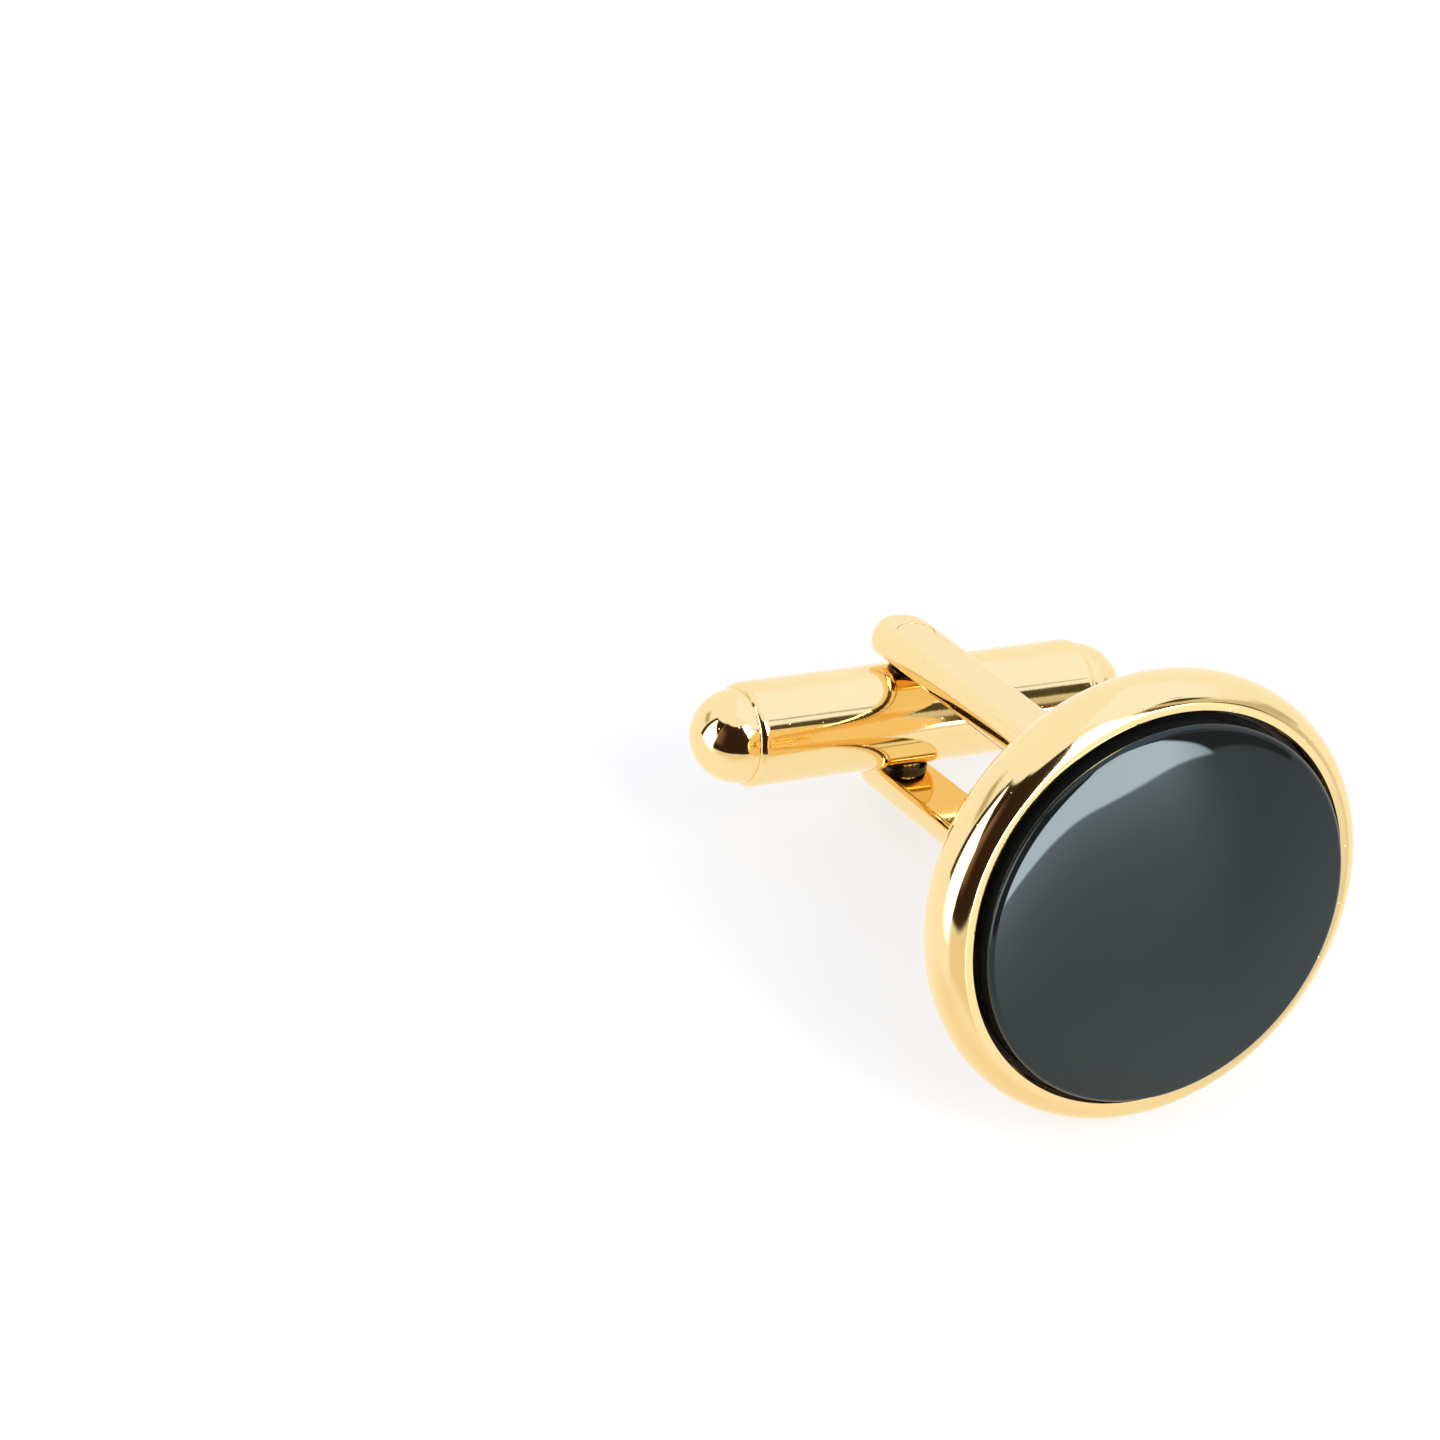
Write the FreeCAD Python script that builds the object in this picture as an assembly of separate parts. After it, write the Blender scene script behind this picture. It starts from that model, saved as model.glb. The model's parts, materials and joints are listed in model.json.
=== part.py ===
import FreeCAD, Part
import math
import os

os.makedirs("parts", exist_ok=True)
V = FreeCAD.Vector

# A cufflink with a swivelling bar. It is drawn about its own axis, then laid down on the table.
# While it is drawn, x runs along the bar, y along the pivot and z out through the stone.
# The plane z = 0 is where the bezel is widest. All sizes are in millimetres and degrees.

# Stone and the cement it sits in
STONE_R = 7.13
STONE_GIRDLE = 1.57
STONE_SHOULDER = 0.22
STONE_DOME_R = 42.0
STONE_FOOT_EDGE = 0.2
BED_T = 0.1
BED_TOP = 0.5
BED_SLIP = 0.02

# Bezel cup, made to take the stone with a gap all round
STONE_GAP = 0.27
LIP_R = STONE_R + STONE_GAP
LIP_LAND = 0.25
LIP_EDGE = 0.05
LIP_TOP = 1.17
BEAD_FRONT_W = 0.75
BEAD_BACK_R = 2.1
FACE_R = LIP_R + LIP_LAND + BEAD_FRONT_W
FLOOR_T = 1.4
FLOOR_Z = FLOOR_T - BEAD_BACK_R

# Bar: a tube closed by two domed caps
TUBE_R = 1.95
TUBE_WALL = 0.4
TUBE_BORE_R = TUBE_R - TUBE_WALL
TUBE_HALF = 7.15
TUBE_EDGE = 0.12
CAP_STEP = 0.2
CAP_R = TUBE_R - CAP_STEP
CAP_LAND = 0.05
SPIGOT_L = 1.5
SLIP = 0.01

# Pivot pin, with four flats in the middle for the spring to bear on
PIN_R = 0.7
PIN_RUN = 0.03
FLATS = 1.1
FLATS_HALF = 1.25
PIVOT_BACK = 16.5

# Fork: a strip bent to a U, its foot let into a shallow seat in the back of the cup
SEAT_DEEP = 0.15
SEAT_GAP = 0.05
ARM_GAP = 0.18
ARM_T = 1.15
ARM_W = 2.4
ARM_TIP = 2.0
ARM_IN = TUBE_R + ARM_GAP
ARM_OUT = ARM_IN + ARM_T
ARM_EDGE = 0.5
ARM_INNER_EDGE = 0.1
BEND_IN = 0.5

# Thin washers on the pin, between the arms and the tube
WASHER_R = 0.92
WASHER_RUN = 0.03

# Leaf spring inside the tube
LEAF_T = 0.2
LEAF_W = 1.2
LEAF_FLAT_HALF = 1.6
LEAF_END_GAP = 0.3
LEAF_HALF = TUBE_HALF - SPIGOT_L - LEAF_END_GAP
LEAF_SEAT = 0.01
LEAF_WALL = 0.02


def turned(outline):
    """Solid of revolution about z from a closed list of edges in the x-z plane."""
    return Part.Face(Part.Wire(outline)).revolve(V(0, 0, 0), V(0, 0, 1), 360)


def line(a, b):
    return Part.makeLine(V(a[0], 0, a[1]), V(b[0], 0, b[1]))


def bend(a, mid, b):
    return Part.Arc(V(a[0], 0, a[1]), V(mid[0], 0, mid[1]), V(b[0], 0, b[1])).toShape()


def make_bezel_cup():
    """Flat back with the fork's seat in it, round bead, and a narrow flat lip round the well."""
    bead_x = FACE_R - BEAD_BACK_R
    crest_x = FACE_R - BEAD_FRONT_W
    s = math.sqrt(0.5)
    front = Part.Ellipse(V(crest_x, 0, LIP_TOP), V(FACE_R, 0, 0), V(crest_x, 0, 0))
    back_mid = (bead_x + BEAD_BACK_R * s, -BEAD_BACK_R * s)
    lip_start = (LIP_R + LIP_EDGE, LIP_TOP)
    lip_mid = (LIP_R + LIP_EDGE * (1 - s), LIP_TOP - LIP_EDGE * (1 - s))
    lip_end = (LIP_R, LIP_TOP - LIP_EDGE)
    outline = [
        line((0, -BEAD_BACK_R), (bead_x, -BEAD_BACK_R)),
        bend((bead_x, -BEAD_BACK_R), back_mid, (FACE_R, 0)),
        Part.ArcOfEllipse(front, 0, math.pi / 2).toShape(),
        line((crest_x, LIP_TOP), lip_start),
        bend(lip_start, lip_mid, lip_end),
        line(lip_end, (LIP_R, FLOOR_Z)),
        line((LIP_R, FLOOR_Z), (0, FLOOR_Z)),
        line((0, FLOOR_Z), (0, -BEAD_BACK_R)),
    ]
    long = 2 * (ARM_OUT + SEAT_GAP)
    wide = ARM_W + 2 * SEAT_GAP
    seat = Part.makeBox(wide, long, SEAT_DEEP, V(-wide / 2, -long / 2, -BEAD_BACK_R))
    return turned(outline).cut(seat)


def make_stone_bed():
    """Cement under the stone, and risen round it in the gap to the wall of the well."""
    inner = STONE_R + BED_SLIP
    outer = LIP_R - BED_SLIP
    seat = FLOOR_Z + BED_T
    outline = [
        line((0, FLOOR_Z), (outer, FLOOR_Z)),
        line((outer, FLOOR_Z), (outer, BED_TOP)),
        line((outer, BED_TOP), (inner, BED_TOP)),
        line((inner, BED_TOP), (inner, seat)),
        line((inner, seat), (0, seat)),
        line((0, seat), (0, FLOOR_Z)),
    ]
    return turned(outline)


def make_onyx_stone():
    """Upright side, rounded shoulder, and a shallow dome that runs smoothly into the shoulder."""
    foot = FLOOR_Z + BED_T
    shoulder_x = STONE_R - STONE_SHOULDER
    reach = STONE_DOME_R - STONE_SHOULDER
    dome_z = STONE_GIRDLE - math.sqrt(reach ** 2 - shoulder_x ** 2)
    tilt = math.asin(shoulder_x / reach)
    meet = (STONE_DOME_R * math.sin(tilt), dome_z + STONE_DOME_R * math.cos(tilt))
    half = STONE_DOME_R * math.sin(tilt / 2), dome_z + STONE_DOME_R * math.cos(tilt / 2)
    mid = (math.pi / 2 + tilt) / 2
    round_mid = (shoulder_x + STONE_SHOULDER * math.sin(mid), STONE_GIRDLE + STONE_SHOULDER * math.cos(mid))
    top = (0, dome_z + STONE_DOME_R)
    outline = [
        line((0, foot), (STONE_R - STONE_FOOT_EDGE, foot)),
        line((STONE_R - STONE_FOOT_EDGE, foot), (STONE_R, foot + STONE_FOOT_EDGE)),
        line((STONE_R, foot + STONE_FOOT_EDGE), (STONE_R, STONE_GIRDLE)),
        bend((STONE_R, STONE_GIRDLE), round_mid, meet),
        bend(meet, half, top),
        line(top, (0, foot)),
    ]
    return turned(outline)


def arm_edges(strip, y):
    """Edges of both arms that lie flat at this distance from the middle."""
    flat = [e for e in strip.Edges if e.BoundBox.YLength < 0.001]
    return [e for e in flat if abs(abs(e.BoundBox.Center.y) - y) < 0.001]


def make_fork_post():
    """U strip cut to a round-ended outline, outer and inner edges softened, drilled for the pin."""
    foot = SEAT_DEEP - BEAD_BACK_R
    tip = -PIVOT_BACK - ARM_TIP
    half_w = ARM_W / 2
    outside = Part.makeBox(ARM_W, 2 * ARM_OUT, foot - tip, V(-half_w, -ARM_OUT, tip))
    heel = [e for e in outside.Edges if e.BoundBox.ZMin > foot - 0.01 and e.BoundBox.XLength > 1]
    outside = outside.makeFillet(BEND_IN + ARM_T, heel)
    gap = Part.makeBox(ARM_W, 2 * ARM_IN, foot - ARM_T - tip, V(-half_w, -ARM_IN, tip))
    inner_heel = [e for e in gap.Edges if e.BoundBox.ZMin > foot - ARM_T - 0.01 and e.BoundBox.XLength > 1]
    strip = outside.cut(gap.makeFillet(BEND_IN, inner_heel))

    straight = Part.makeBox(ARM_W, 2 * ARM_OUT, foot - tip - half_w, V(-half_w, -ARM_OUT, tip + half_w))
    round_end = Part.makeCylinder(half_w, 2 * ARM_OUT, V(0, -ARM_OUT, tip + half_w), V(0, 1, 0))
    strip = strip.common(straight.fuse(round_end).removeSplitter()).removeSplitter()

    strip = strip.makeFillet(ARM_EDGE, arm_edges(strip, ARM_OUT))
    strip = strip.makeFillet(ARM_INNER_EDGE, arm_edges(strip, ARM_IN))
    hole = Part.makeCylinder(PIN_R + SLIP, 2 * ARM_OUT, V(0, -ARM_OUT, -PIVOT_BACK), V(0, 1, 0))
    return strip.cut(hole)


def make_pivot_pin():
    """Round pin, flush with the arms, its middle milled to a square with rounded corners."""
    pin = Part.makeCylinder(PIN_R, 2 * ARM_OUT, V(0, -ARM_OUT, -PIVOT_BACK), V(0, 1, 0))
    side = 4 * PIN_R
    for turn in range(4):
        waste = Part.makeBox(side, 2 * FLATS_HALF, side, V(FLATS / 2, -FLATS_HALF, -side / 2))
        waste.rotate(V(0, 0, 0), V(0, 1, 0), 90 * turn)
        waste.translate(V(0, 0, -PIVOT_BACK))
        pin = pin.cut(waste)
    return pin


def make_washer(side):
    """Flat ring against the inner face of an arm. side is 1 for the upper arm, -1 for the lower."""
    thick = ARM_GAP - WASHER_RUN
    start = V(0, side * (ARM_IN - thick), -PIVOT_BACK)
    ring = Part.makeCylinder(WASHER_R, thick, start, V(0, side, 0))
    return ring.cut(Part.makeCylinder(PIN_R + PIN_RUN, thick, start, V(0, side, 0)))


def along_bar(shape):
    """Turns a piece drawn along z so that it lies along the bar, on the pivot's height."""
    shape.rotate(V(0, 0, 0), V(0, 1, 0), 90)
    shape.translate(V(0, 0, -PIVOT_BACK))
    return shape


def make_toggle_barrel():
    """Tube with softened end edges, cross-drilled for the pin."""
    s = math.sqrt(0.5)
    flat = TUBE_R - TUBE_EDGE
    side = TUBE_HALF - TUBE_EDGE
    far = TUBE_EDGE * s
    outline = [
        line((TUBE_BORE_R, -TUBE_HALF), (flat, -TUBE_HALF)),
        bend((flat, -TUBE_HALF), (flat + far, -side - far), (TUBE_R, -side)),
        line((TUBE_R, -side), (TUBE_R, side)),
        bend((TUBE_R, side), (flat + far, side + far), (flat, TUBE_HALF)),
        line((flat, TUBE_HALF), (TUBE_BORE_R, TUBE_HALF)),
        line((TUBE_BORE_R, TUBE_HALF), (TUBE_BORE_R, -TUBE_HALF)),
    ]
    tube = along_bar(turned(outline))
    hole = Part.makeCylinder(PIN_R + PIN_RUN, 4 * TUBE_R, V(0, -2 * TUBE_R, -PIVOT_BACK), V(0, 1, 0))
    return tube.cut(hole)


def make_barrel_cap(end):
    """Domed cap with a spigot that slips into the tube. end is -1 for the left cap, 1 for the right."""
    s = math.sqrt(0.5)
    root = TUBE_HALF - SPIGOT_L
    land = TUBE_HALF + CAP_LAND
    spigot = TUBE_BORE_R - SLIP
    outline = [
        line((0, root), (spigot, root)),
        line((spigot, root), (spigot, TUBE_HALF)),
        line((spigot, TUBE_HALF), (CAP_R, TUBE_HALF)),
        line((CAP_R, TUBE_HALF), (CAP_R, land)),
        bend((CAP_R, land), (CAP_R * s, land + CAP_R * s), (0, land + CAP_R)),
        line((0, land + CAP_R), (0, root)),
    ]
    cap = along_bar(turned(outline))
    if end < 0:
        cap.rotate(V(0, 0, -PIVOT_BACK), V(0, 1, 0), 180)
    return cap


def make_detent_leaf():
    """Bowed strip: the middle lies on a flat of the pin, the ends bear on the bore of the tube."""
    seat = FLATS / 2 + LEAF_SEAT
    end = math.sqrt(TUBE_BORE_R ** 2 - (LEAF_W / 2) ** 2) - LEAF_WALL - LEAF_T
    upper = [(-LEAF_HALF, end), (-LEAF_FLAT_HALF, seat), (LEAF_FLAT_HALF, seat), (LEAF_HALF, end)]
    lower = [(x, z + LEAF_T) for x, z in reversed(upper)]
    ring = [V(x, -LEAF_W / 2, -PIVOT_BACK - z) for x, z in upper + lower + upper[:1]]
    return Part.Face(Part.makePolygon(ring)).extrude(V(0, LEAF_W, 0))


def solve(gap, low, high):
    """Root of a rising or falling function between two bounds, by halving."""
    sign = 1 if gap(low) < 0 else -1
    for _ in range(60):
        mid = (low + high) / 2
        if sign * gap(mid) < 0:
            low = mid
        else:
            high = mid
    return (low + high) / 2


def cup_depth(lean):
    """How far the cup reaches below its own centre once it leans back by this many degrees."""
    return (FACE_R - BEAD_BACK_R) * math.cos(math.radians(lean)) + BEAD_BACK_R


def fork_depth(roll, lean):
    """The same for the rounded tip of the lower arm, measured from the cup's centre."""
    side, up, out = floor_normal(roll, lean)
    tip_round = (ARM_W / 2 - ARM_EDGE) * math.hypot(side, out) + ARM_EDGE
    return (ARM_OUT - ARM_EDGE) * up + (PIVOT_BACK + ARM_TIP - ARM_W / 2) * out + tip_round


def bar_depth(roll, lean):
    """The same for the end edge of the tube on the right."""
    side, up, out = floor_normal(roll, lean)
    end_round = (TUBE_R - TUBE_EDGE) * math.sqrt(1 - side ** 2) + TUBE_EDGE
    return (TUBE_HALF - TUBE_EDGE) * side + PIVOT_BACK * out + end_round


def floor_normal(roll, lean):
    """Sizes of the upward direction along the bar, the pivot and the stone's axis."""
    r = math.radians(roll)
    tilt = math.radians(lean)
    return math.sin(r) * math.cos(tilt), math.cos(r) * math.cos(tilt), math.sin(tilt)


def lean_for(roll):
    return solve(lambda lean: cup_depth(lean) - fork_depth(roll, lean), 0, 40)


# The cufflink lies on three points: the bezel's rim, the tip of the lower arm and the right end of the tube
ROLL = solve(lambda roll: bar_depth(roll, lean_for(roll)) - fork_depth(roll, lean_for(roll)), 0, 45)
LEAN = lean_for(ROLL)


pieces = {
    "bezel_cup": make_bezel_cup(),
    "stone_bed": make_stone_bed(),
    "onyx_stone": make_onyx_stone(),
    "fork_post": make_fork_post(),
    "pivot_pin": make_pivot_pin(),
    "washer_upper": make_washer(1),
    "washer_lower": make_washer(-1),
    "toggle_barrel": make_toggle_barrel(),
    "barrel_cap_left": make_barrel_cap(-1),
    "barrel_cap_right": make_barrel_cap(1),
    "detent_leaf": make_detent_leaf(),
}

for piece in pieces.values():
    piece.rotate(V(0, 0, 0), V(0, 0, 1), -ROLL)
    piece.rotate(V(0, 0, 0), V(1, 0, 0), 90 - LEAN)

whole = Part.makeCompound(list(pieces.values())).optimalBoundingBox(False, False)
shift = V(-whole.Center.x, -whole.Center.y, -whole.ZMin)
for name, piece in pieces.items():
    piece.translate(shift)
    piece.exportStep("parts/" + name + ".step")
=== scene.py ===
import json
import math
import bmesh
import bpy
from mathutils import Euler, Matrix, Vector


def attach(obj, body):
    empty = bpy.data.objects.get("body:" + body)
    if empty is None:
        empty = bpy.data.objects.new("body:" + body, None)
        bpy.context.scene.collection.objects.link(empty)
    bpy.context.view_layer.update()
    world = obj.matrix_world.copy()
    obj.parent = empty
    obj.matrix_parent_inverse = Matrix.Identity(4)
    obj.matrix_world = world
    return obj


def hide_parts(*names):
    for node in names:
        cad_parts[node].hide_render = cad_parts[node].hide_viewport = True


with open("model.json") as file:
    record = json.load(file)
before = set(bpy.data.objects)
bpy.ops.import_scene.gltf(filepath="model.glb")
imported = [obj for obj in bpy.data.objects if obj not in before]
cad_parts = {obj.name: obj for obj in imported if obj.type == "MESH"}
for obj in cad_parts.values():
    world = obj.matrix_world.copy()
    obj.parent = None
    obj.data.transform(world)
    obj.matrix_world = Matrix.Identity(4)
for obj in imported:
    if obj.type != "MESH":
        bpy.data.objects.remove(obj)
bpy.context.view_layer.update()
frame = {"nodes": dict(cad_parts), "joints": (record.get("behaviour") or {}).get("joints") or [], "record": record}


# Bezel cup: the round setting that carries everything else. Turned from brass with a bold half-round
# bead and a narrow flat lip round the well, then gold plated and buffed, which leaves fine lines that
# run round the rim. Sizes are in millimetres.
MM = 0.001
STONE_R = 7.13
STONE_GAP = 0.27
LIP_R = STONE_R + STONE_GAP
LIP_LAND = 0.25
LIP_EDGE = 0.05
LIP_TOP = 1.17
BEAD_FRONT = 0.75
BEAD_BACK = 2.1
CREST_R = LIP_R + LIP_LAND
FACE_R = CREST_R + BEAD_FRONT
WELL_FLOOR = -0.7
BACK_RINGS = (0, 1, 3, 4.5, 6)
FLOOR_RINGS = (5.5, 3, 0)
CUP_DIVISIONS = 288
GOLD_PALE = (0.95, 0.725, 0.36, 1)
GOLD_DEEP = (0.925, 0.69, 0.325, 1)
RIPPLE_HIGH = 0.006
LINES_HIGH = 0.0009
SCUFFS_HIGH = 0.0026
PITS_DEEP = 0.004
SHARP_FROM = 35

# The pieces are drawn about the stone's axis, from the middle of the bead: x along the bar, y along the
# pivot and z out through the stone. This takes them to where the cufflink lies.
PIVOT_BACK = 16.5
swivel = frame["joints"][0]
back = next(m for m in frame["record"]["mounts"] if m["name"] == "cuff_back")
out_of_stone = -Vector(back["axis"]).normalized()
along_pivot = Vector(swivel["axis"]).normalized()
along_bar = along_pivot.cross(out_of_stone)
turned_to = Matrix((along_bar, along_pivot, out_of_stone)).transposed()
cup_middle = Vector(swivel["pos_m"]) + PIVOT_BACK * MM * out_of_stone
LAID = Matrix.Translation(cup_middle) @ turned_to.to_4x4() @ Matrix.Scale(MM, 4)


class Wire:
    """An output of a node in a tree. Sums written with it add Math nodes to the same tree."""

    def __init__(self, tree, socket=None):
        self.tree = tree
        self.socket = socket

    def node(self, kind, settings=None, sockets=None):
        """Adds a node: first its settings, then the values or links of its sockets, by name or number."""
        made = self.tree.nodes.new(kind)
        for name, value in (settings or {}).items():
            setattr(made, name, value)
        for name, value in (sockets or {}).items():
            named = [s for s in made.inputs if s.name == name and s.enabled]
            into = made.inputs[name] if isinstance(name, int) else named[0]
            if isinstance(value, Wire):
                self.tree.links.new(value.socket, into)
            else:
                into.default_value = value
        shown = [s for s in made.outputs if s.enabled]
        return Wire(self.tree, shown[0] if shown else None)

    def of(self, name):
        """Another output of the same node."""
        return Wire(self.tree, self.socket.node.outputs[name])

    def math(self, operation, *terms):
        """The result of one sum."""
        return self.node("ShaderNodeMath", {"operation": operation}, dict(enumerate(terms)))

    def __add__(self, other):
        return self.math("ADD", self, other)

    def __sub__(self, other):
        return self.math("SUBTRACT", self, other)

    def __rsub__(self, other):
        return self.math("SUBTRACT", other, self)

    def __mul__(self, other):
        return self.math("MULTIPLY", self, other)

    def __truediv__(self, other):
        return self.math("DIVIDE", self, other)

    def __pow__(self, other):
        return self.math("POWER", self, other)

    __radd__ = __add__
    __rmul__ = __mul__


def new_finish(name):
    """An empty material, with the piece's own place in millimetres, as it is drawn."""
    finish = bpy.data.materials.new(name)
    finish.use_nodes = True
    finish.node_tree.nodes.clear()
    tree = Wire(finish.node_tree)
    spot = tree.node("ShaderNodeTexCoord").of("Object")
    spot = tree.node("ShaderNodeMapping", {"vector_type": "TEXTURE"}, {
        "Vector": spot, "Location": cup_middle, "Rotation": turned_to.to_euler(), "Scale": (MM, MM, MM)})
    return finish, tree, spot


def close_finish(finish, tree, sockets, height=None):
    """Makes the finish's surface from its sockets, with bumps of this height in millimetres."""
    if height is not None:
        sockets["Normal"] = tree.node("ShaderNodeBump", {}, {
            "Strength": 1.0, "Distance": MM, "Height": height})
    surface = tree.node("ShaderNodeBsdfPrincipled", {}, sockets)
    tree.node("ShaderNodeOutputMaterial", {}, {"Surface": surface})
    return finish


def noise(spot, scale, detail, **sockets):
    """Soft noise with about this many waves in a unit of the place that it is given."""
    space = {"noise_dimensions": "4D" if "W" in sockets else "3D"}
    return spot.node("ShaderNodeTexNoise", space, {
        "Vector": spot, "Scale": scale, "Detail": detail, **sockets})


def wear(value, low, high):
    """How far a value has come from low to high, with soft ends."""
    return value.node("ShaderNodeMapRange", {"interpolation_type": "SMOOTHSTEP"}, {
        "Value": value, "From Min": low, "From Max": high})


def tint(share, first, second):
    """The first colour where the share is 0, the second where it is 1."""
    return share.node("ShaderNodeMix", {"data_type": "RGBA"}, {"Factor": share, "A": first, "B": second})


def gold_plate(name, lines):
    """Buffed gold plate. lines gives the noise that the buffing lines follow on this piece."""
    finish, tree, spot = new_finish(name)
    buffed = lines(spot)
    cloud = noise(spot, 0.45, 3.0)
    ripple = noise(spot, 0.55, 1.0)
    pits = wear(noise(spot, 5.5, 0.0), 0.81, 0.9)
    scuffed = wear(noise(spot, 0.32, 1.0), 0.54, 0.68)
    height = ripple * RIPPLE_HIGH + buffed * (LINES_HIGH + scuffed * SCUFFS_HIGH) - pits * PITS_DEEP
    return close_finish(finish, tree, {
        "Base Color": tint(cloud, GOLD_PALE, GOLD_DEEP), "Metallic": 1.0,
        "Roughness": 0.045 + wear(cloud, 0.35, 0.75) * 0.035 + buffed * 0.03 + pits * 0.15}, height)


def round_the_stone(spot):
    """Lines round the stone's axis: the noise is slow along the way round, and fast across the rim."""
    slow = 1.6
    fast = 6.0
    place = spot.node("ShaderNodeSeparateXYZ", {}, {"Vector": spot})
    x, y, z = place.of("X"), place.of("Y"), place.of("Z")
    radius = (x * x + y * y) ** 0.5 + 0.001
    way = spot.node("ShaderNodeCombineXYZ", {}, {
        "X": x / radius * slow, "Y": y / radius * slow, "Z": z * fast})
    return noise(way, 1.0, 4.0, W=radius * fast)


def arc(middle, across, up, start, end, steps):
    """Points on an arc, or on a part of an ellipse, from one angle to another in degrees."""
    turns = [math.radians(start + (end - start) * i / steps) for i in range(steps + 1)]
    return [(middle[0] + across * math.cos(a), middle[1] + up * math.sin(a)) for a in turns]


def shape_tree(name, **inputs):
    """A node tree with these inputs, each with its kind, and one piece as its output."""
    group = bpy.data.node_groups.new(name, "GeometryNodeTree")
    for label, kind in inputs.items():
        group.interface.new_socket(label, in_out="INPUT", socket_type="NodeSocket" + kind)
    group.interface.new_socket("Piece", in_out="OUTPUT", socket_type="NodeSocketGeometry")
    tree = Wire(group)
    return group, tree, tree.node("NodeGroupInput")


def close_shape(tree, shape, finish):
    """Ends a node tree with the shape as one real mesh in its finish."""
    whole = tree.node("GeometryNodeRealizeInstances", {}, {"Geometry": shape})
    painted = tree.node("GeometryNodeSetMaterial", {}, {"Geometry": whole, "Material": finish})
    tree.node("NodeGroupOutput", {}, {"Piece": painted})


def lathe_tree():
    """Turns an outline round z. The outline is a row of points: x is its radius, z its height."""
    joined_within = 0.0004
    group, tree, given = shape_tree(
        "turned_on_a_lathe", Outline="Geometry", Divisions="Int", Finish="Material")
    points = tree.node("GeometryNodeAttributeDomainSize", {"component": "MESH"}, {"Geometry": given})
    sheet = tree.node("GeometryNodeMeshGrid", {}, {
        "Size X": 1.0, "Size Y": 1.0, "Vertices X": given.of("Divisions") + 1, "Vertices Y": points})
    at = tree.node("GeometryNodeInputPosition")
    on_sheet = tree.node("ShaderNodeSeparateXYZ", {}, {"Vector": at})
    turn = (on_sheet.of("X") + 0.5) * math.tau
    row = tree.math("ROUND", (on_sheet.of("Y") + 0.5) * (points - 1))
    drawn = tree.node("GeometryNodeSampleIndex", {"data_type": "FLOAT_VECTOR"}, {
        "Geometry": given, "Value": at, "Index": row})
    drawn = tree.node("ShaderNodeSeparateXYZ", {}, {"Vector": drawn})
    radius, height = drawn.of("X"), drawn.of("Z")
    place = tree.node("ShaderNodeCombineXYZ", {}, {
        "X": radius * tree.math("COSINE", turn), "Y": radius * tree.math("SINE", turn), "Z": height})
    rolled = tree.node("GeometryNodeSetPosition", {}, {"Geometry": sheet, "Position": place})
    closed = tree.node("GeometryNodeMergeByDistance", {}, {"Geometry": rolled, "Distance": joined_within})
    smooth = tree.node("GeometryNodeSetShadeSmooth", {}, {"Geometry": closed, "Shade Smooth": True})
    close_shape(tree, smooth, given.of("Finish"))
    return group


def plain_mesh(piece):
    """Keeps what the piece's modifiers make of it as its own mesh."""
    ready = bpy.context.evaluated_depsgraph_get()
    mesh = bpy.data.meshes.new_from_object(piece.evaluated_get(ready), depsgraph=ready)
    piece.modifiers.clear()
    piece.data = mesh


def put_through(tree, name, mesh, **sizes):
    """Puts a mesh through a node tree, with the tree's inputs set by name, and keeps the result."""
    piece = bpy.data.objects.new(name, mesh)
    bpy.context.scene.collection.objects.link(piece)
    step = piece.modifiers.new("shape", "NODES")
    step.node_group = tree
    for socket in tree.interface.items_tree:
        if socket.name in sizes:
            step[socket.identifier] = sizes[socket.name]
    plain_mesh(piece)
    return piece


def turned(name, outline, finish, divisions=224):
    """A turned piece, from its outline as (radius, height), which goes from the foot outwards and up."""
    mesh = bpy.data.meshes.new(name)
    mesh.from_pydata([(r, 0, z) for r, z in outline], [], [])
    return put_through(LATHE, name, mesh, Divisions=divisions, Finish=finish)


def cut_away(piece, waste):
    """Takes the waste, a mesh in millimetres, out of a piece. What it uncovers gets the piece's finish."""
    tool = bpy.data.objects.new("waste", waste)
    bpy.context.scene.collection.objects.link(tool)
    cut = piece.modifiers.new("cut", "BOOLEAN")
    cut.operation = "DIFFERENCE"
    cut.solver = "EXACT"
    cut.object = tool
    plain_mesh(piece)
    finish = len(piece.data.materials) - 1
    piece.data.polygons.foreach_set("material_index", [finish] * len(piece.data.polygons))
    bpy.data.objects.remove(tool)


def lay(piece, body, slot, *nodes, turn=Matrix()):
    """Evens out the shading, lays the piece where it belongs and hands it to its body."""
    piece.data.set_sharp_from_angle(angle=math.radians(SHARP_FROM))
    even = piece.modifiers.new("even", "WEIGHTED_NORMAL")
    even.keep_sharp = True
    plain_mesh(piece)
    piece.data.transform(LAID @ turn)
    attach(piece, body)
    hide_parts(*nodes)


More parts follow.
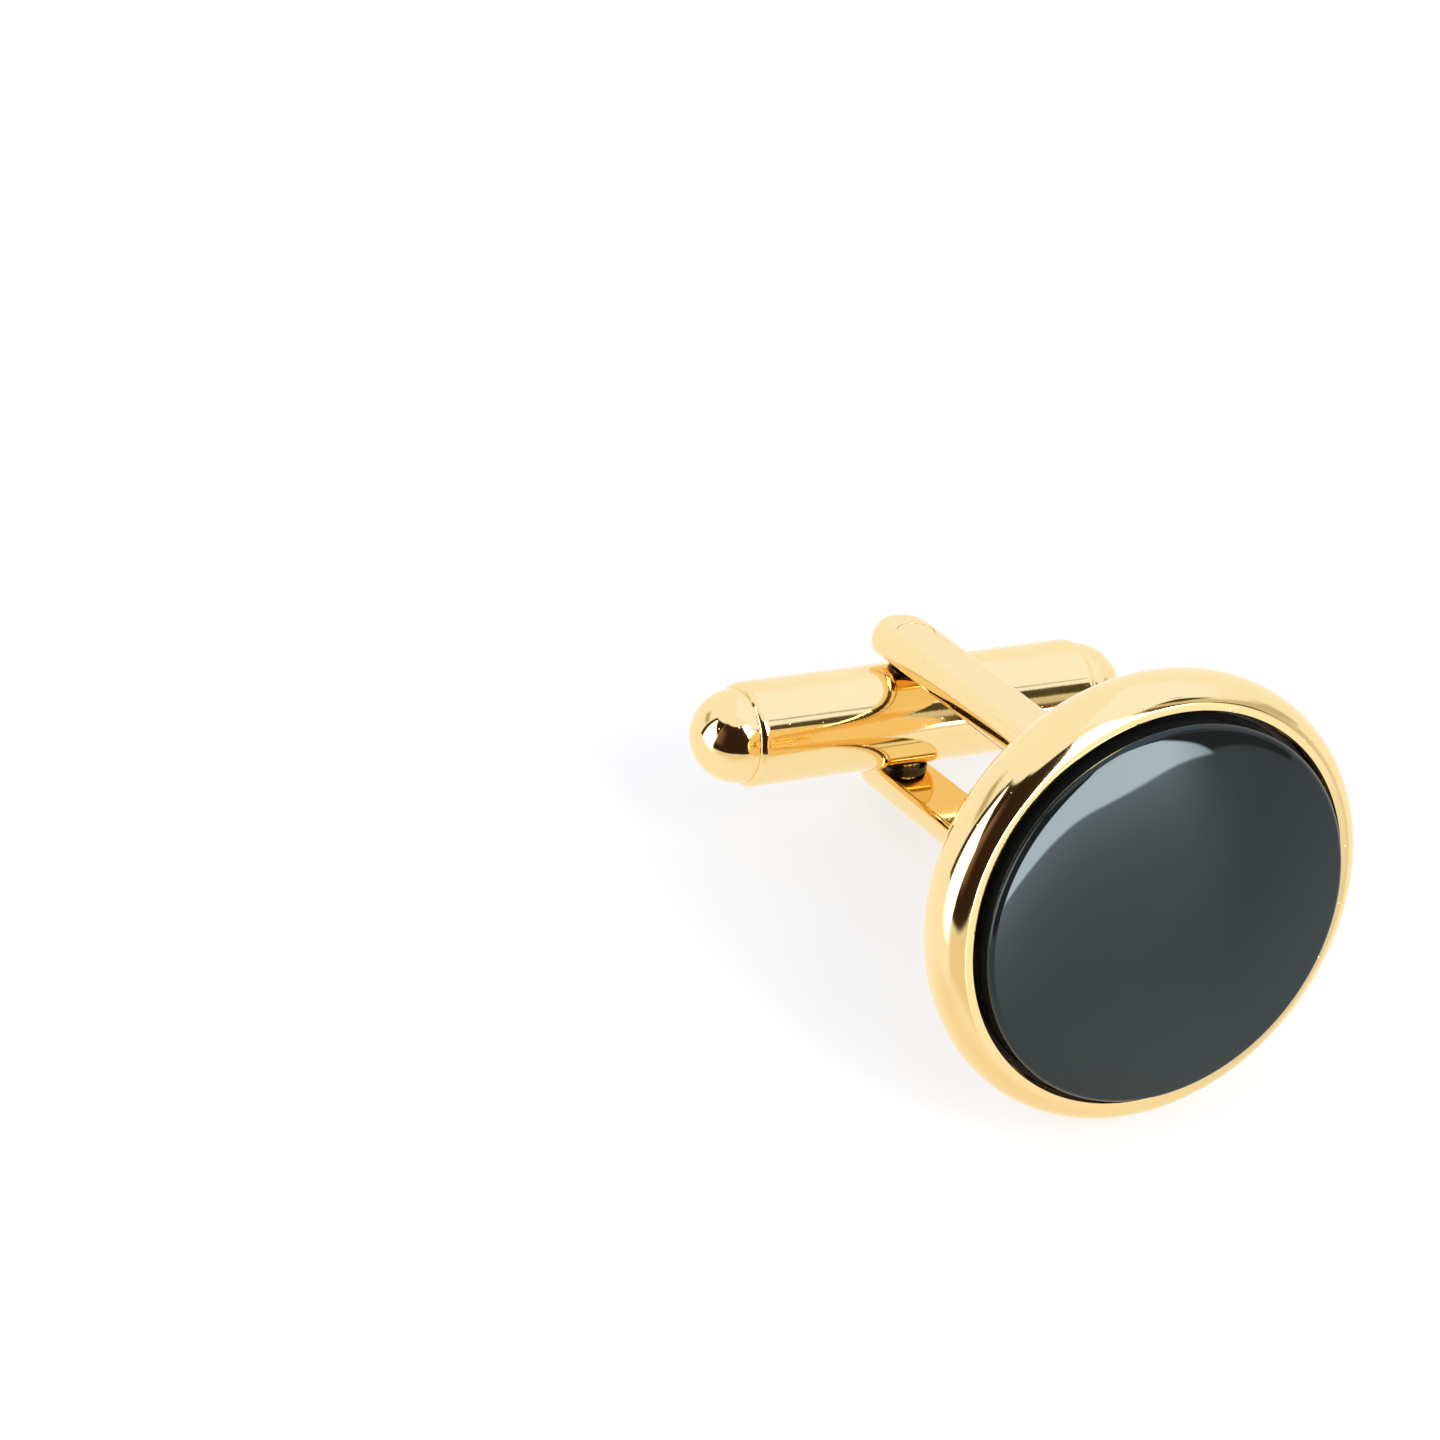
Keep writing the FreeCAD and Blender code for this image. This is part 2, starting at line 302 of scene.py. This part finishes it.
LATHE = lathe_tree()
GOLD_ROUND = gold_plate("gold_plate_rim", round_the_stone)
bead_x = FACE_R - BEAD_BACK
cup_outline = [(r, -BEAD_BACK) for r in BACK_RINGS]
cup_outline += arc((bead_x, 0), BEAD_BACK, BEAD_BACK, -90, 0, 28)
cup_outline += arc((CREST_R, 0), BEAD_FRONT, LIP_TOP, 0, 90, 44)[1:]
cup_outline += [(LIP_R + LIP_LAND * share, LIP_TOP) for share in (0.75, 0.5)]
cup_outline += arc((LIP_R + LIP_EDGE, LIP_TOP - LIP_EDGE), LIP_EDGE, LIP_EDGE, 90, 180, 8)
cup_outline += [(r, WELL_FLOOR) for r in (LIP_R, *FLOOR_RINGS)]
cup = turned("bezel_cup_turned", cup_outline, GOLD_ROUND, CUP_DIVISIONS)

# Seat for the fork's foot in the flat back
SEAT_DEEP = 0.15
SEAT_GAP = 0.05
ARM_W = 2.4
ARM_T = 1.15
ARM_IN = 2.13
ARM_OUT = ARM_IN + ARM_T
seat = bmesh.new()
bmesh.ops.create_cube(seat, size=2)
bmesh.ops.scale(seat, vec=(ARM_W / 2 + SEAT_GAP, ARM_OUT + SEAT_GAP, SEAT_DEEP), verts=seat.verts)
bmesh.ops.translate(seat, vec=(0, 0, -BEAD_BACK), verts=seat.verts)
seat_mesh = bpy.data.meshes.new("seat")
seat.to_mesh(seat_mesh)
cut_away(cup, seat_mesh)
lay(cup, "face", "gold_plate", "bezel_cup")


# Bed of cement that holds the stone in the cup: a thin dark layer on the floor of the well, which also
# rises in the gap round the stone, where it shows as a dark line. The solid is right as it is, so it
# only gets its matte, grainy finish.
CEMENT_DARK = (0.018, 0.011, 0.009, 1)
CEMENT_PALE = (0.04, 0.026, 0.021, 1)


def cement():
    finish, tree, spot = new_finish("dark_cement")
    grain = noise(spot, 9.0, 5.0)
    lumps = noise(spot, 1.4, 3.0)
    return close_finish(finish, tree, {
        "Base Color": tint(lumps, CEMENT_DARK, CEMENT_PALE),
        "Roughness": 0.65 + grain * 0.25}, grain * 0.02)


def give(node, finish):
    """Puts a finish on a solid that stays as it is."""
    for slot in frame["nodes"][node].material_slots:
        slot.material = finish


give("stone_bed", cement())


# Stone: a round of black onyx, cut with an upright side, a rounded shoulder and a very shallow dome,
# and polished until it mirrors. It stands in the cup on its bed, just proud of the lip.
STONE_GIRDLE = 1.57
STONE_SHOULDER = 0.22
STONE_DOME_R = 42.0
STONE_FOOT_EDGE = 0.2
BED_T = 0.1
STONE_FOOT = WELL_FLOOR + BED_T
STONE_RING = 3
STONE_SIDE_RING = 0.7
STONE_DIVISIONS = 256
ONYX_BLACK = (0.005, 0.0065, 0.006, 1)
ONYX_SMOKE = (0.011, 0.013, 0.0125, 1)
ONYX_SHINE = (0.75, 0.955, 1.0, 1)


def drawn_out(spot, scale):
    """Noise in fine lines, with about this many waves in a millimetre along x, y and z."""
    return noise(spot.node("ShaderNodeMapping", {}, {"Vector": spot, "Scale": scale}), 1.0, 4.0)


def polished_onyx():
    finish, tree, spot = new_finish("polished_onyx")
    depth = noise(spot, 0.22, 4.0)
    haze = wear(noise(spot, 0.35, 4.0), 0.4, 0.75)
    hairs = drawn_out(spot, (0.6, 9.0, 1.0))
    return close_finish(finish, tree, {
        "Base Color": tint(depth, ONYX_BLACK, ONYX_SMOKE),
        "Roughness": 0.012 + haze * 0.014 + wear(hairs, 0.6, 0.8) * 0.02,
        "IOR": 1.47, "Specular Tint": ONYX_SHINE}, noise(spot, 0.3, 1.0) * 0.002)


shoulder_x = STONE_R - STONE_SHOULDER
dome_z = STONE_GIRDLE - math.sqrt((STONE_DOME_R - STONE_SHOULDER) ** 2 - shoulder_x ** 2)
tilt = math.degrees(math.asin(shoulder_x / (STONE_DOME_R - STONE_SHOULDER)))
stone_outline = [(r, STONE_FOOT) for r in (0, STONE_RING, STONE_R - STONE_FOOT_EDGE)]
stone_outline += [(STONE_R, STONE_FOOT + STONE_FOOT_EDGE), (STONE_R, STONE_SIDE_RING)]
stone_outline += arc((shoulder_x, STONE_GIRDLE), STONE_SHOULDER, STONE_SHOULDER, 0, 90 - tilt, 24)
stone_outline += arc((0, dome_z), STONE_DOME_R, STONE_DOME_R, 90 - tilt, 90, 40)[1:]
stone = turned("onyx_stone_polished", stone_outline, polished_onyx(), STONE_DIVISIONS)
lay(stone, "face", "black_stone", "onyx_stone")


# Fork: the post behind the cup, a flat strip of brass with round ends, drilled for the pin, bent to
# a U and soldered by its foot into the seat in the cup's back. Plated, and buffed along its length until
# its edges are round, the outer ones most.
ARM_TIP = 2.0
ARM_EDGE = 0.5
ARM_EDGE_DEEP = 0.82
ARM_INNER_EDGE = 0.27
BEND_IN = 0.5
PIN_R = 0.7
PIN_FIT = 0.006
PIN_DIVISIONS = 96
SIDE_STEPS = 56
END_STEPS = 28
FORK_FOOT = SEAT_DEEP - BEAD_BACK
half_web = ARM_IN - BEND_IN
bend_length = (BEND_IN + ARM_T / 2) * math.pi / 2
bend_z = FORK_FOOT - ARM_T - BEND_IN
half_strip = half_web + bend_length + bend_z + PIVOT_BACK + ARM_TIP


def along_the_strip(spot):
    """Lines along the arms, which run in the direction of the stone's axis."""
    return drawn_out(spot, (7.0, 7.0, 0.7))


def bend_tree():
    """Bends a flat strip to a U. Its middle, to either side of y = 0, stays flat: the web."""
    group, tree, given = shape_tree(
        "strip_bent_to_a_U", Strip="Geometry", Half_Web="Float", Bend_Length="Float", Bend_Radius="Float",
        Bend_Height="Float", Finish="Material")
    at = tree.node("ShaderNodeSeparateXYZ", {}, {"Vector": tree.node("GeometryNodeInputPosition")})
    side = tree.math("SIGN", at.of("Y"))
    reach = tree.math("ABSOLUTE", at.of("Y"))
    flat = tree.math("MINIMUM", reach, given.of("Half_Web"))
    past = reach - given.of("Half_Web")
    in_bend = tree.math("MAXIMUM", tree.math("MINIMUM", past, given.of("Bend_Length")), 0.0)
    straight = tree.math("MAXIMUM", past - given.of("Bend_Length"), 0.0)
    turn = in_bend / given.of("Bend_Length") * (math.pi / 2)
    radius = given.of("Bend_Radius") + at.of("Z")
    place = tree.node("ShaderNodeCombineXYZ", {}, {
        "X": at.of("X"),
        "Y": side * (flat + radius * tree.math("SINE", turn)),
        "Z": given.of("Bend_Height") + radius * tree.math("COSINE", turn) - straight})
    bent = tree.node("GeometryNodeSetPosition", {}, {"Geometry": given, "Position": place})
    close_shape(tree, bent, given.of("Finish"))
    return group


def strip_ring(inset, height):
    """One ring round the flat strip, this far in from its edge: two straight sides and two round ends."""
    half_w = ARM_W / 2
    straight = half_strip - half_w
    side = [straight * (2 * i / SIDE_STEPS - 1) for i in range(SIDE_STEPS + 1)]
    ends = [math.radians(180 * i / END_STEPS) for i in range(1, END_STEPS)]
    r = half_w - inset
    ring = [(r, y, height) for y in side]
    ring += [(r * math.cos(a), straight + r * math.sin(a), height) for a in ends]
    ring += [(-r, y, height) for y in reversed(side)]
    ring += [(-r * math.cos(a), -straight - r * math.sin(a), height) for a in ends]
    return ring


def flat_strip():
    """The strip before it is bent: rings from the inner face out to the outer face, both faces closed."""
    edge = arc((ARM_INNER_EDGE, ARM_INNER_EDGE), -ARM_INNER_EDGE, -ARM_INNER_EDGE, 90, 0, 5)
    edge += arc((ARM_EDGE, ARM_T - ARM_EDGE_DEEP), -ARM_EDGE, ARM_EDGE_DEEP, 0, 90, 14)
    rings = [strip_ring(inset, height) for inset, height in edge]
    count = len(rings[0])
    made = bmesh.new()
    verts = [[made.verts.new(p) for p in ring] for ring in rings]
    for low, high in zip(verts, verts[1:]):
        for i in range(count):
            j = (i + 1) % count
            made.faces.new((low[i], low[j], high[j], high[i]))
    for ring in (verts[0], verts[-1]):
        sides = SIDE_STEPS + 1
        ends = END_STEPS - 1
        right = ring[:sides]
        left = ring[sides + ends:2 * sides + ends]
        far = ring[sides - 1:sides + ends + 1]
        near = ring[2 * sides + ends - 1:] + ring[:1]
        for corners in (*zip(right, right[1:], left[-2::-1], left[:0:-1]), far, near):
            made.faces.new(corners)
    bmesh.ops.recalc_face_normals(made, faces=made.faces)
    for face in made.faces:
        face.smooth = True
    mesh = bpy.data.meshes.new("flat_strip")
    made.to_mesh(mesh)
    return mesh


def round_bar(radius, length, turn):
    """A plain round bar for drilling, along z before it is turned."""
    made = bmesh.new()
    bmesh.ops.create_cone(
        made, cap_ends=True, segments=PIN_DIVISIONS, radius1=radius, radius2=radius, depth=length)
    made.transform(turn)
    mesh = bpy.data.meshes.new("drill")
    made.to_mesh(mesh)
    return mesh


GOLD_STRIP = gold_plate("gold_plate_strip", along_the_strip)
AT_PIVOT = Matrix.Translation((0, 0, -PIVOT_BACK)) @ Matrix.Rotation(math.radians(-90), 4, "X")
fork = put_through(
    bend_tree(), "fork_post_bent", flat_strip(), Half_Web=half_web, Bend_Length=bend_length,
    Bend_Radius=BEND_IN, Bend_Height=bend_z, Finish=GOLD_STRIP)
cut_away(fork, round_bar(PIN_R + PIN_FIT, 4 * ARM_OUT, AT_PIVOT))
lay(fork, "face", "gold_plate", "fork_post")


# Pivot pin: a rivet through both arms and the bar, ground flush with the arms and plated over, so that
# only its faint round outline shows. Its middle is milled to a square, for the spring to bear on.
FLATS = 1.1
FLATS_HALF = 1.25
FLATS_STEP = 0.002
PIN_EDGE = 0.03
PIN_RING = 0.35
pin_end = ARM_OUT - PIN_EDGE
pin_edge_x = PIN_R - PIN_EDGE
flats_rings = (0.4, FLATS_HALF, FLATS_HALF + FLATS_STEP)
pin_outline = [(0, -ARM_OUT), (PIN_RING, -ARM_OUT)]
pin_outline += arc((pin_edge_x, -pin_end), PIN_EDGE, PIN_EDGE, -90, 0, 6)
pin_outline += [(PIN_R, -z) for z in reversed(flats_rings)] + [(PIN_R, z) for z in flats_rings]
pin_outline += arc((pin_edge_x, pin_end), PIN_EDGE, PIN_EDGE, 0, 90, 6)
pin_outline += [(PIN_RING, ARM_OUT), (0, ARM_OUT)]
pin = turned("pivot_pin_flush", pin_outline, GOLD_STRIP, PIN_DIVISIONS)
for vert in pin.data.vertices:
    if abs(vert.co.z) < FLATS_HALF + FLATS_STEP / 2:
        vert.co.x = max(-FLATS / 2, min(FLATS / 2, vert.co.x))
        vert.co.y = max(-FLATS / 2, min(FLATS / 2, vert.co.y))
lay(pin, "face", "gold_plate", "pivot_pin", turn=AT_PIVOT)


# Washers: two thin rings of steel on the pin, one against the inside of each arm, which keep the bar
# from rubbing on the fork. Painted near-black: painted shade for the dark lens between bar and lower arm.
WASHER_R = 0.92
PIN_PLAY = 0.03
WASHER_BORE = PIN_R + PIN_PLAY
WASHER_T = 0.15
WASHER_EDGE = 0.03
# Steel colours kept near-black: painted shade for the gap between the bar and the lower arm
STEEL_GAP_SHADE_DARK = (0.04, 0.034, 0.03, 1)
STEEL_GAP_SHADE_BROWN = (0.085, 0.07, 0.058, 1)


def steel_painted_gap_shade():
    finish, tree, spot = new_finish("steel_painted_gap_shade")
    patches = noise(spot, 2.2, 4.0)
    grain = noise(spot, 14.0, 3.0)
    # Near-black base colour: the washers' steel with the shade of the gap painted in
    return close_finish(finish, tree, {
        "Base Color": tint(patches, STEEL_GAP_SHADE_DARK, STEEL_GAP_SHADE_BROWN), "Metallic": 1.0,
        "Roughness": 0.22 + patches * 0.2}, grain * 0.003)


STEEL_WITH_GAP_SHADE = steel_painted_gap_shade()
washer_face = ARM_IN - WASHER_T
washer_edge = (WASHER_R - WASHER_EDGE, washer_face + WASHER_EDGE)
washer_outline = [(WASHER_BORE, washer_face)]
washer_outline += arc(washer_edge, WASHER_EDGE, WASHER_EDGE, -90, 0, 4)
washer_outline += [(WASHER_R, ARM_IN), (WASHER_BORE, ARM_IN), washer_outline[0]]
for name, turn in (("upper", AT_PIVOT), ("lower", AT_PIVOT @ Matrix.Rotation(math.pi, 4, "X"))):
    washer = turned("washer_" + name + "_ring", washer_outline, STEEL_WITH_GAP_SHADE, PIN_DIVISIONS)
    lay(washer, "face", "dark_steel", "washer_" + name, turn=turn)


# Barrel: the bar that swivels between the arms, a drawn brass tube with rounded ends, cross drilled
# for the pin, plated and buffed round its length.
TUBE_R = 1.95
TUBE_BORE = 1.55
TUBE_HALF = 7.15
TUBE_EDGE = 0.2
TUBE_EDGE_LONG = 0.36
TUBE_RINGS = 16
ALONG_BAR = Matrix.Translation((0, 0, -PIVOT_BACK)) @ Matrix.Rotation(math.radians(90), 4, "Y")


def round_the_bar(spot):
    """Lines round the bar: slow along the way round, and fast along its length."""
    place = spot.node("ShaderNodeMapping", {}, {
        "Vector": spot, "Location": (0, 0, PIVOT_BACK * 0.5), "Scale": (7.0, 0.5, 0.5)})
    return noise(place, 1.0, 4.0)


GOLD_BAR = gold_plate("gold_plate_bar", round_the_bar)
side = TUBE_HALF - TUBE_EDGE_LONG
flat = TUBE_R - TUBE_EDGE
barrel_outline = arc((flat, -side), TUBE_EDGE, TUBE_EDGE_LONG, -90, 0, 14)
barrel_outline += [(TUBE_R, side * z / TUBE_RINGS) for z in range(1 - TUBE_RINGS, TUBE_RINGS)]
barrel_outline += arc((flat, side), TUBE_EDGE, TUBE_EDGE_LONG, 0, 90, 14)
barrel_outline += [(TUBE_BORE, TUBE_HALF), (TUBE_BORE, -TUBE_HALF), barrel_outline[0]]
barrel = turned("toggle_barrel_tube", barrel_outline, GOLD_BAR)
cut_away(barrel, round_bar(PIN_R + PIN_PLAY, 4 * TUBE_R, Matrix.Rotation(math.radians(-90), 4, "X")))
lay(barrel, "toggle", "gold_plate", "toggle_barrel", turn=ALONG_BAR)


# End caps: two domed plugs that close the tube, each pressed in by its spigot and a little smaller
# than the tube, so that a fine step shows all round.
CAP_R = 1.75
CAP_LAND = 0.05
SPIGOT_L = 1.5
SPIGOT_R = TUBE_BORE - 0.01
cap_outline = [(0, TUBE_HALF - SPIGOT_L), (SPIGOT_R, TUBE_HALF - SPIGOT_L)]
cap_outline += [(SPIGOT_R, TUBE_HALF), (CAP_R, TUBE_HALF)]
cap_outline += arc((0, TUBE_HALF + CAP_LAND), CAP_R, CAP_R, 0, 90, 40)
for name, turn in (("right", ALONG_BAR), ("left", ALONG_BAR @ Matrix.Rotation(math.pi, 4, "Y"))):
    cap = turned("barrel_cap_" + name + "_domed", cap_outline, GOLD_BAR)
    lay(cap, "toggle", "gold_plate", "barrel_cap_" + name, turn=turn)


# Leaf spring inside the tube, a bowed strip of spring steel that presses on the flats of the pin. It is
# hidden once the caps are in, so the solid stays and gets a drawn, satin steel.
SPRING_GREY = (0.5, 0.5, 0.49, 1)
SPRING_PALE = (0.62, 0.61, 0.6, 1)


def spring_steel():
    finish, tree, spot = new_finish("spring_steel")
    drawn = drawn_out(spot, (0.6, 14.0, 14.0))
    return close_finish(finish, tree, {
        "Base Color": tint(drawn, SPRING_GREY, SPRING_PALE), "Metallic": 1.0,
        "Roughness": 0.25 + drawn * 0.2})


give("detent_leaf", spring_steel())


# Camera, at the photograph's viewing angle: a long lens, tipped up from straight down, rolled a little
# and turned about the upright, in degrees.
LENS = 129.83
CAMERA_AT = Vector((-72.1209, -109.4838, 138.2316)) * MM
CAMERA_TIP = 45.6338
CAMERA_ROLL = 0.3817
CAMERA_TURN = -28.9393
aimed = Euler([math.radians(a) for a in (CAMERA_TIP, CAMERA_ROLL, CAMERA_TURN)], "XYZ").to_matrix()
lens = bpy.data.cameras.new("camera")
lens.lens = LENS
lens.sensor_width = 36.0
lens.clip_start = 0.005
camera = bpy.data.objects.new("camera", lens)
bpy.context.scene.collection.objects.link(camera)
camera.matrix_world = Matrix.Translation(CAMERA_AT) @ aimed.to_4x4()
bpy.context.scene.camera = camera
bpy.context.scene.view_settings.view_transform = "Standard"
to_camera = Vector((aimed.col[2].x, aimed.col[2].y, 0)).normalized()
to_right = Vector((-to_camera.y, to_camera.x, 0))


# Table: a plain white sheet that the cufflink lies on, with a soft warm shade in front of it and a grey
# one on the right. Its front edge fades out in what the polished surfaces mirror. Sizes are in metres.
TABLE_FRONT = 0.03
TABLE_BACK = 0.6
TABLE_HALF = 0.6
FADE_START = 0.012
WHITE = (1, 1, 1, 1)
SHEET_GREY = (0.9, 0.9, 0.9, 1)
SHEET_PALE = (0.92, 0.92, 0.92, 1)
MIRRORED = (1.05, 1.05, 1.05, 1)
WARM_SHADE = (0.97, 0.89, 0.73, 1)
GREY_SHADE = (0.8, 0.8, 0.8, 1)
SHOWN_WHITE = 0.7
MIRRORED_WHITE = 0.9


def along(place, direction):
    """How far a place lies along a direction."""
    dot = place.node("ShaderNodeVectorMath", {"operation": "DOT_PRODUCT"}, {0: place, 1: direction})
    return dot.of("Value")


def white_sheet():
    finish = bpy.data.materials.new("white_sheet")
    finish.use_nodes = True
    finish.node_tree.nodes.clear()
    tree = Wire(finish.node_tree)
    spot = tree.node("ShaderNodeTexCoord").of("Object")
    matte = tree.node("ShaderNodeBsdfPrincipled", {}, {
        "Base Color": tint(noise(spot, 900.0, 3.0), SHEET_GREY, SHEET_PALE), "Roughness": 0.7,
        "Specular IOR Level": 0.1})
    near = along(spot, to_camera)
    right = along(spot, to_right)
    in_front = wear(near, 0.004, 0.016) * wear(right, -0.022, -0.012) * (1 - wear(right, -0.002, 0.014))
    on_right = wear(right - near * 1.1, -0.009, 0.003) * wear(near, 0.006, 0.01)
    mirrored = tint(on_right, tint(in_front, MIRRORED, WARM_SHADE), GREY_SHADE)
    path = tree.node("ShaderNodeLightPath")
    by_camera = path.of("Is Camera Ray")
    by_polish = path.of("Is Glossy Ray")
    white = tree.node("ShaderNodeEmission", {}, {
        "Color": tint(by_camera, mirrored, WHITE), "Strength": 1.0})
    shown = tree.node("ShaderNodeMixShader", {}, {
        0: by_camera * SHOWN_WHITE + by_polish * MIRRORED_WHITE, 1: matte, 2: white})
    fade = wear(near, FADE_START, TABLE_FRONT) * by_polish
    faded = tree.node("ShaderNodeMixShader", {}, {
        0: fade, 1: shown, 2: tree.node("ShaderNodeBsdfTransparent")})
    tree.node("ShaderNodeOutputMaterial", {}, {"Surface": faded})
    return finish


front = to_camera * TABLE_FRONT
rear = to_camera * -TABLE_BACK
half = to_right * TABLE_HALF
corners = (front - half, front + half, rear + half, rear - half)
table_mesh = bpy.data.meshes.new("table")
table_mesh.from_pydata([tuple(c) for c in corners], [], [(0, 1, 2, 3)])
table_mesh.materials.append(white_sheet())
table = bpy.data.objects.new("table", table_mesh)
bpy.context.scene.collection.objects.link(table)


# Studio light: a white tent all round, with a dark gap where the camera looks in and a soft box to
# either side of that gap. Sideways angles are counted from the camera to its left, and upward angles
# from the table, in degrees.
TENT = (1.04, 1.08, 1.16, 1)
TENT_FLOOR = (1.03, 1.03, 1.03, 1)
TENT_ROOF = (1.05, 1.17, 1.45, 1)
WARM_FRONT = (0.9, 0.82, 0.68, 1)
TABLE_END = (0.7, 0.7, 0.7, 1)
LOW_WALL = (0.62, 0.6, 0.52, 1)
TENT_FOLD = (0.7, 0.66, 0.55, 1)
OLIVE = (0.08, 0.07, 0.035, 1)
CLIP = (0.42, 0.45, 0.48, 1)
REAR_SHADE = (0.55, 0.5, 0.38, 1)
DARK = (0.034, 0.019, 0.011, 1)
RUST = (0.24, 0.14, 0.1, 1)
BROWN = (0.12, 0.065, 0.035, 1)
FILL_BOX = (4.0, 4.0, 4.0, 1)
SOFT_BOX = (12.4, 12.2, 12.4, 1)
SOFT_BOX_END = (6.0, 5.9, 6.0, 1)
SHINE = (3.0, 3.05, 3.1, 1)
world = bpy.data.worlds.new("studio")
bpy.context.scene.world = world
world.use_nodes = True
world.node_tree.nodes.clear()
sky = Wire(world.node_tree)
toward = sky.node("ShaderNodeTexCoord").of("Generated")
upward = sky.node("ShaderNodeSeparateXYZ", {}, {"Vector": toward}).of("Z")
aside = sky.math("ARCTAN2", along(toward, -to_right), along(toward, to_camera)) * math.degrees(1)
raised = sky.math("ARCSINE", upward) * math.degrees(1)


def window(first, last, low, high, soft):
    """1 inside an opening, given by its sideways and upward angles, and 0 outside, with soft edges."""
    return (wear(aside, first - soft, first + soft) * (1 - wear(aside, last - soft, last + soft))
            * wear(raised, low - soft, low + soft) * (1 - wear(raised, high - soft, high + soft)))


def over(value):
    """The value where it is above 0, and 0 elsewhere."""
    return value.math("MAXIMUM", value, 0)


# Tent, with the shades that hang in it
light = tint(wear(raised, -3, 1), TENT_FLOOR, TENT)
light = tint(wear(raised, 20, 36) * (1 - wear(aside, -68, -56)), light, TENT_ROOF)
light = tint(window(-33, 48, -24, -1, 6), light, WARM_FRONT)
light = tint(window(-84, -61, -45, -2, 3), light, TABLE_END)
light = tint(window(-105, -70, -2, 14, 5), light, LOW_WALL)
light = tint(window(-72, -56, -4, 32, 4), light, TENT_FOLD)
light = tint(window(-77, -65.5, 20, 35.5, 1), light, OLIVE)
light = tint(window(-85.5, -82.5, 38, 43, 0.7), light, CLIP)
light = tint(window(104, 126, 16, 27, 4), light, REAR_SHADE)

# Fill box on the camera's left, in a dark frame whose top slopes down to the left
GAP_LEFT = 57
frame_top = 83 - aside * 0.35
fill_top = sky.math("MINIMUM", aside * 0.6 - 7, 47)
light = tint(window(GAP_LEFT, 98 + raised * 0.1, -9, frame_top, 1.5), light, DARK)
light = tint(window(GAP_LEFT, 89 + raised * 0.1, -30, fill_top, 2), light, FILL_BOX)
light = tint(window(52, 102, -34, -12, 3), light, TENT)

# Dark gap round the camera, rusty on its left
gap_right = raised * 0.16 - 40.5 + 8 * (1 - wear(raised, -4, 3))
gap_low = sky.math("MINIMUM", aside, 0) * 0.15 - 1.5
rusty = wear(aside, 28, 56) * wear(raised, 8, 20) * (1 - wear(raised, 40, 54))
light = tint(window(gap_right, GAP_LEFT, gap_low, 65, 1.5), light, tint(rusty, DARK, RUST))

# Tall soft box to the right of the gap. Its foot is lowest at both ends and shines on the table, its
# light falls off to the right, and beside it are its brown side and a dark stand, whose foot curves
# down to the right.
BOX_LEFT = -46.5
BOX_RIGHT = -53.5
BOX_FOOT = -2.4
STAND_RIGHT = -67.5
drop = sky.math("MINIMUM", over(1 - raised), 5)
box_right = BOX_RIGHT - drop * (1.95 - drop * 0.155)
box_low = BOX_FOOT - over(aside - BOX_LEFT) ** 2 * 0.052 - over(BOX_RIGHT - aside) ** 2 * 0.037
below = box_low - raised
shine = wear(below, -0.3, 0.3) * wear(aside, -60, -54) * sky.math("EXPONENT", below * -0.2)
beyond = over(-59 - aside)
stand_low = -3.2 - beyond * (0.28 + beyond * 0.057)
light = tint(shine * (1 - wear(aside, -36, -30)), light, SHINE)
light = tint(window(box_right - 6, box_right, -2, 26, 1), light, BROWN)
light = tint(window(STAND_RIGHT, box_right, stand_low, 0.5, 0.25), light, DARK)
box = tint(wear(aside, -61, -54), SOFT_BOX_END, SOFT_BOX)
light = tint(window(box_right, gap_right + 0.5, box_low, 62, 0.25), light, box)

# The camera itself sees plain white
shown = tint(sky.node("ShaderNodeLightPath").of("Is Camera Ray"), light, WHITE)
sky.node("ShaderNodeOutputWorld", {}, {
    "Surface": sky.node("ShaderNodeBackground", {}, {"Color": shown, "Strength": 1.0})})
